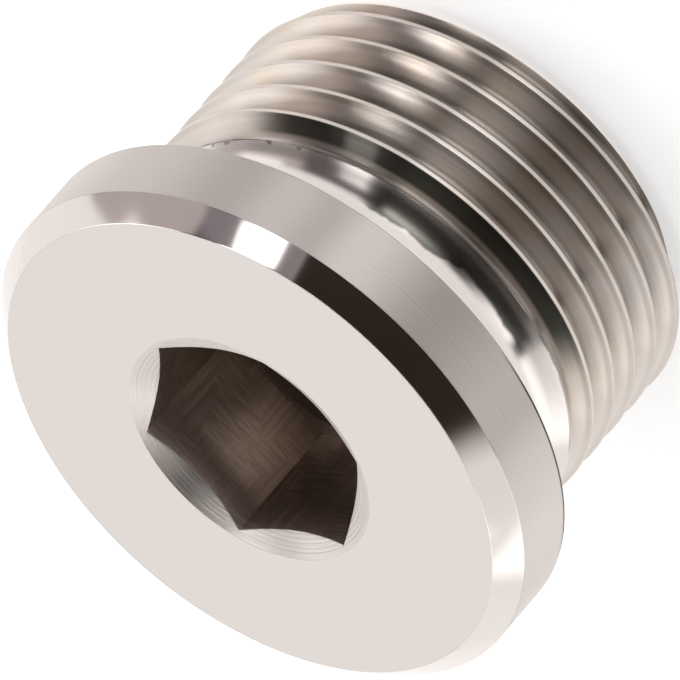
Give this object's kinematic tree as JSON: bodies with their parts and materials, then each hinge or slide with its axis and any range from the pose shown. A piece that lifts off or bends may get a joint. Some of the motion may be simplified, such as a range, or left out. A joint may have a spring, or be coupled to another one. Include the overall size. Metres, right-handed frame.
{
  "type": "hex socket screw plug",
  "caption": "Steel screw plug with a round collar head, a countersunk hexagon socket, an undercut neck and a straight metric thread.",
  "frame": {"origin": "centre of the end of the shank, on which the plug stands", "axes": "+Z along the plug's axis from the end of the shank to the head's face, +X through a corner of the hexagon socket"},
  "size_m": [0.032, 0.032, 0.0208],
  "materials": {
    "turned_steel": "bright turned stainless steel, satin face, polished chamfers and thread"
  },
  "bodies": {
    "root": {"plug_body": "turned_steel"}
  },
  "joints": []
}
